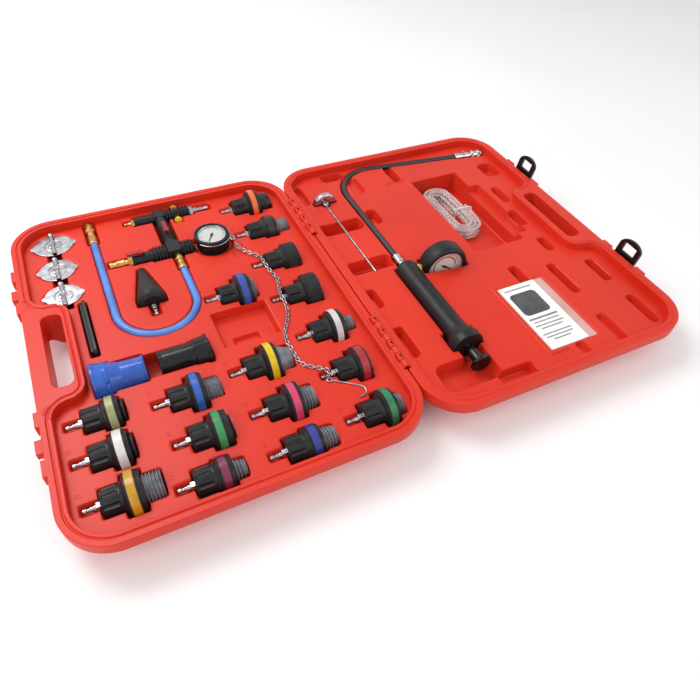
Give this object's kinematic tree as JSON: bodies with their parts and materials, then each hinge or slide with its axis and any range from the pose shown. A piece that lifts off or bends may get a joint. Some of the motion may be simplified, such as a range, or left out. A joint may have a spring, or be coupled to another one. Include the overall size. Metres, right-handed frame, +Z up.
{
  "type": "cooling system pressure tester kit",
  "caption": "Moulded red carrying case, opened flat, with a hand pump and gauge, vacuum refill gun, colour-ringed cap adapters, hoses, thermometer and guide in fitted nests.",
  "frame": {"origin": "centre of the tray half's underside, on the surface the case stands on", "axes": "+X from the tray half across the hinge to the lid half, +Y along the hinge line to the far side, +Z up"},
  "size_m": [0.8871, 0.57, 0.0807],
  "materials": {
    "case_red": "blow-moulded polyethylene, satin",
    "steel_pin": "drawn wire",
    "latch_black": "glossy",
    "adapter_black": "satin",
    "plate_steel": "bright plated",
    "gun_black": "ribbed rubber",
    "brass": "turned",
    "lever_red": "gloss paint",
    "gauge_black": "satin",
    "dial_white": "printed",
    "needle_black": "matt paint",
    "chrome": "polished",
    "hose_blue": "satin",
    "rubber_black": "satin",
    "sleeve_blue": "anodised look",
    "gloss_black": "gloss",
    "hose_black": "satin",
    "hose_clear": "clear vinyl",
    "paper_pouch": "printed sheet in a clear sleeve"
  },
  "bodies": {
    "tray": {"tray_shell": "case_red", "hinge_pins": "steel_pin"},
    "lid": {"lid_shell": "case_red"},
    "latch_far": {"latch_far": "latch_black"},
    "latch_near": {"latch_near": "latch_black"},
    "adapter_04_orange": {"adapter_04_orange": "adapter_black"},
    "adapter_05_brown": {"adapter_05_brown": "adapter_black"},
    "adapter_06_black": {"adapter_06_black": "adapter_black"},
    "adapter_07_black": {"adapter_07_black": "adapter_black"},
    "adapter_08_blue": {"adapter_08_blue": "adapter_black"},
    "adapter_09_white": {"adapter_09_white": "adapter_black"},
    "adapter_10_dark_red": {"adapter_10_dark_red": "adapter_black"},
    "adapter_11_yellow": {"adapter_11_yellow": "adapter_black"},
    "adapter_13_green": {"adapter_13_green": "adapter_black"},
    "adapter_14_pink": {"adapter_14_pink": "adapter_black"},
    "adapter_15_navy": {"adapter_15_navy": "adapter_black"},
    "adapter_17_blue": {"adapter_17_blue": "adapter_black"},
    "adapter_18_green": {"adapter_18_green": "adapter_black"},
    "adapter_19_maroon": {"adapter_19_maroon": "adapter_black"},
    "adapter_20_white": {"adapter_20_white": "adapter_black"},
    "adapter_21_amber": {"adapter_21_amber": "adapter_black"},
    "adapter_22_olive": {"adapter_22_olive": "adapter_black"},
    "cap_plate_01": {"cap_plate_01": "plate_steel"},
    "cap_plate_02": {"cap_plate_02": "plate_steel"},
    "cap_plate_03": {"cap_plate_03": "plate_steel"},
    "gun": {"gun_body": "gun_black", "gun_fittings": "brass", "vacuum_gauge_case": "gauge_black", "vacuum_gauge_dial": "dial_white", "wire_guard": "chrome", "refill_hose": "hose_blue", "chain": "chrome", "chain_hook": "chrome"},
    "shuttle_valve": {"shuttle_valve": "brass"},
    "valve_lever_upper": {"valve_lever_upper": "lever_red"},
    "valve_lever_lower": {"valve_lever_lower": "lever_red"},
    "vacuum_needle": {"vacuum_gauge_needle": "needle_black"},
    "cone": {"cone_adapter": "rubber_black", "cone_nipple": "chrome"},
    "strap_wrench": {"strap_wrench": "rubber_black"},
    "blue_sleeve": {"blue_sleeve": "sleeve_blue"},
    "black_sleeve": {"black_sleeve": "rubber_black"},
    "pump": {"pump_grip": "rubber_black", "pump_barrel": "chrome", "pump_head": "chrome", "pump_gauge_boot": "rubber_black", "pump_gauge_case": "chrome", "pump_gauge_dial": "dial_white", "test_hose": "hose_black", "coupler_body": "chrome"},
    "plunger": {"plunger_rod": "chrome", "plunger_knob": "gloss_black"},
    "pump_needle": {"pump_gauge_needle": "needle_black"},
    "coupler_sleeve": {"coupler_sleeve": "chrome"},
    "release_button": {"release_button": "chrome"},
    "thermometer": {"thermometer_case": "chrome", "thermometer_stem": "chrome"},
    "thermometer_needle": {"thermometer_needle": "lever_red"},
    "clear_hose": {"clear_hose": "hose_clear"},
    "guide": {"guide_pouch": "paper_pouch"}
  },
  "joints": [
    {"name": "lid_hinge", "type": "hinge", "parent": "tray", "child": "lid", "pos_m": [0.2155, 0, 0.055], "axis": [0, 1, 0], "range_deg": [-180, 0]},
    {"name": "latch_far_pivot", "type": "hinge", "parent": "lid", "child": "latch_far", "pos_m": [0.6514, 0.133, 0.043], "axis": [0, 1, 0], "range_deg": [-12, 100]},
    {"name": "latch_near_pivot", "type": "hinge", "parent": "lid", "child": "latch_near", "pos_m": [0.6514, -0.133, 0.043], "axis": [0, 1, 0], "range_deg": [-12, 100]},
    {"name": "lift_adapter_04_orange", "type": "slide", "parent": "tray", "child": "adapter_04_orange", "axis": [0, 0, 1], "range_m": [0, 0.06]},
    {"name": "lift_adapter_05_brown", "type": "slide", "parent": "tray", "child": "adapter_05_brown", "axis": [0, 0, 1], "range_m": [0, 0.06]},
    {"name": "lift_adapter_06_black", "type": "slide", "parent": "tray", "child": "adapter_06_black", "axis": [0, 0, 1], "range_m": [0, 0.06]},
    {"name": "lift_adapter_07_black", "type": "slide", "parent": "tray", "child": "adapter_07_black", "axis": [0, 0, 1], "range_m": [0, 0.06]},
    {"name": "lift_adapter_08_blue", "type": "slide", "parent": "tray", "child": "adapter_08_blue", "axis": [0, 0, 1], "range_m": [0, 0.06]},
    {"name": "lift_adapter_09_white", "type": "slide", "parent": "tray", "child": "adapter_09_white", "axis": [0, 0, 1], "range_m": [0, 0.06]},
    {"name": "lift_adapter_10_dark_red", "type": "slide", "parent": "tray", "child": "adapter_10_dark_red", "axis": [0, 0, 1], "range_m": [0, 0.06]},
    {"name": "lift_adapter_11_yellow", "type": "slide", "parent": "tray", "child": "adapter_11_yellow", "axis": [0, 0, 1], "range_m": [0, 0.06]},
    {"name": "lift_adapter_13_green", "type": "slide", "parent": "tray", "child": "adapter_13_green", "axis": [0, 0, 1], "range_m": [0, 0.06]},
    {"name": "lift_adapter_14_pink", "type": "slide", "parent": "tray", "child": "adapter_14_pink", "axis": [0, 0, 1], "range_m": [0, 0.06]},
    {"name": "lift_adapter_15_navy", "type": "slide", "parent": "tray", "child": "adapter_15_navy", "axis": [0, 0, 1], "range_m": [0, 0.06]},
    {"name": "lift_adapter_17_blue", "type": "slide", "parent": "tray", "child": "adapter_17_blue", "axis": [0, 0, 1], "range_m": [0, 0.06]},
    {"name": "lift_adapter_18_green", "type": "slide", "parent": "tray", "child": "adapter_18_green", "axis": [0, 0, 1], "range_m": [0, 0.06]},
    {"name": "lift_adapter_19_maroon", "type": "slide", "parent": "tray", "child": "adapter_19_maroon", "axis": [0, 0, 1], "range_m": [0, 0.06]},
    {"name": "lift_adapter_20_white", "type": "slide", "parent": "tray", "child": "adapter_20_white", "axis": [0, 0, 1], "range_m": [0, 0.06]},
    {"name": "lift_adapter_21_amber", "type": "slide", "parent": "tray", "child": "adapter_21_amber", "axis": [0, 0, 1], "range_m": [0, 0.06]},
    {"name": "lift_adapter_22_olive", "type": "slide", "parent": "tray", "child": "adapter_22_olive", "axis": [0, 0, 1], "range_m": [0, 0.06]},
    {"name": "lift_cap_plate_01", "type": "slide", "parent": "tray", "child": "cap_plate_01", "axis": [0, 0, 1], "range_m": [0, 0.05]},
    {"name": "lift_cap_plate_02", "type": "slide", "parent": "tray", "child": "cap_plate_02", "axis": [0, 0, 1], "range_m": [0, 0.05]},
    {"name": "lift_cap_plate_03", "type": "slide", "parent": "tray", "child": "cap_plate_03", "axis": [0, 0, 1], "range_m": [0, 0.05]},
    {"name": "lift_gun", "type": "slide", "parent": "tray", "child": "gun", "axis": [0, 0, 1], "range_m": [0, 0.06], "deforming": ["chain"]},
    {"name": "shuttle_slide", "type": "slide", "parent": "gun", "child": "shuttle_valve", "axis": [0, 1, 0], "range_m": [-0.003, 0]},
    {"name": "upper_valve_turn", "type": "hinge", "parent": "gun", "child": "valve_lever_upper", "pos_m": [0.0055, 0.198, 0.05], "axis": [0, 0, 1], "range_deg": [0, 90]},
    {"name": "lower_valve_turn", "type": "hinge", "parent": "gun", "child": "valve_lever_lower", "pos_m": [-0.0425, 0.158, 0.05], "axis": [0, 0, 1], "range_deg": [-90, 0]},
    {"name": "vacuum_needle_turn", "type": "hinge", "parent": "gun", "child": "vacuum_needle", "pos_m": [0.0655, 0.154, 0.06], "axis": [0, 0, 1], "range_deg": [0, 270]},
    {"name": "lift_cone", "type": "slide", "parent": "tray", "child": "cone", "axis": [0, 0, 1], "range_m": [0, 0.06]},
    {"name": "lift_strap_wrench", "type": "slide", "parent": "tray", "child": "strap_wrench", "axis": [0, 0, 1], "range_m": [0, 0.06]},
    {"name": "lift_blue_sleeve", "type": "slide", "parent": "tray", "child": "blue_sleeve", "axis": [0, 0, 1], "range_m": [0, 0.06]},
    {"name": "lift_black_sleeve", "type": "slide", "parent": "tray", "child": "black_sleeve", "axis": [0, 0, 1], "range_m": [0, 0.06]},
    {"name": "lift_pump", "type": "slide", "parent": "lid", "child": "pump", "axis": [0, 0, 1], "range_m": [0, 0.08]},
    {"name": "plunger_slide", "type": "slide", "parent": "pump", "child": "plunger", "axis": [0, -1, 0], "range_m": [0, 0.022]},
    {"name": "pump_needle_turn", "type": "hinge", "parent": "pump", "child": "pump_needle", "pos_m": [0.3795, -0.024, 0.041], "axis": [0.1045, 0.9945, 0], "range_deg": [0, 240]},
    {"name": "coupler_sleeve_slide", "type": "slide", "parent": "pump", "child": "coupler_sleeve", "axis": [-0.9925, 0.1219, 0], "range_m": [0, 0.0045], "stiffness_N_per_m": 900, "springref_m": -0.004},
    {"name": "button_press", "type": "slide", "parent": "pump", "child": "release_button", "axis": [0, 0, -1], "range_m": [0, 0.0013], "stiffness_N_per_m": 1500, "springref_m": -0.001},
    {"name": "lift_thermometer", "type": "slide", "parent": "lid", "child": "thermometer", "axis": [0, 0, 1], "range_m": [0, 0.06]},
    {"name": "thermometer_needle_turn", "type": "hinge", "parent": "thermometer", "child": "thermometer_needle", "pos_m": [0.2735, 0.19, 0.0405], "axis": [0, -1, 0], "range_deg": [0, 260]},
    {"name": "lift_clear_hose", "type": "slide", "parent": "lid", "child": "clear_hose", "axis": [0, 0, 1], "range_m": [0, 0.07]},
    {"name": "lift_guide", "type": "slide", "parent": "lid", "child": "guide", "axis": [0, 0, 1], "range_m": [0, 0.03]}
  ]
}
